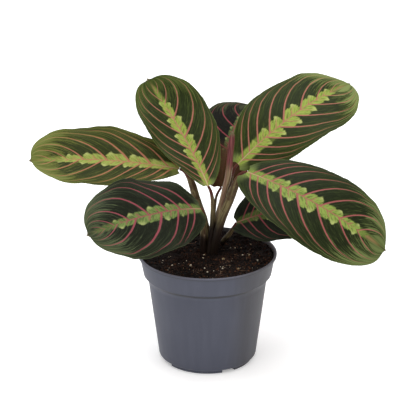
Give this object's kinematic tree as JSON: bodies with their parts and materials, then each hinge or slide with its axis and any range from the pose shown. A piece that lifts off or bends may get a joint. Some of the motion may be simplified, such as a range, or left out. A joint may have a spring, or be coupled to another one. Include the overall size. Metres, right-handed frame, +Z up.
{
  "type": "potted prayer plant",
  "caption": "Potted prayer plant maranta with broad oval leaves on thin stalks and a rolled new leaf, in a tapered plastic nursery pot of soil.",
  "frame": {"origin": "centre of the pot's underside, on the surface it stands on", "axes": "+Z up along the pot's axis; the front, from which the leaves are seen, is -Y, and +X is to the viewer's right"},
  "size_m": [0.3043, 0.2575, 0.2332],
  "materials": {
    "pot_plastic": "satin grey-blue moulded polypropylene",
    "potting_soil": "damp dark peat with cream perlite grains",
    "leaf_olive": "satin olive-green blade with pink veins and a lime band along the midrib",
    "leaf_dark": "satin dark-green blade with crimson veins and a lime band along the midrib",
    "stalk_olive": "smooth olive-brown stalk, red where it meets the blade",
    "new_leaf_mauve": "mauve-red underside of the rolled leaf, olive at its foot"
  },
  "bodies": {
    "root": {"pot": "pot_plastic", "soil": "potting_soil", "blade_left_upper": "leaf_olive", "blade_top_left": "leaf_olive", "blade_top_right": "leaf_olive", "blade_back_centre": "leaf_dark", "blade_right_front": "leaf_dark", "blade_left_front": "leaf_dark", "blade_right_low": "leaf_dark", "stalk_left_upper": "stalk_olive", "stalk_top_left": "stalk_olive", "stalk_top_right": "stalk_olive", "stalk_back_centre": "stalk_olive", "stalk_right_front": "stalk_olive", "stalk_left_front": "stalk_olive", "stalk_right_low": "stalk_olive", "new_leaf": "new_leaf_mauve"}
  },
  "joints": []
}
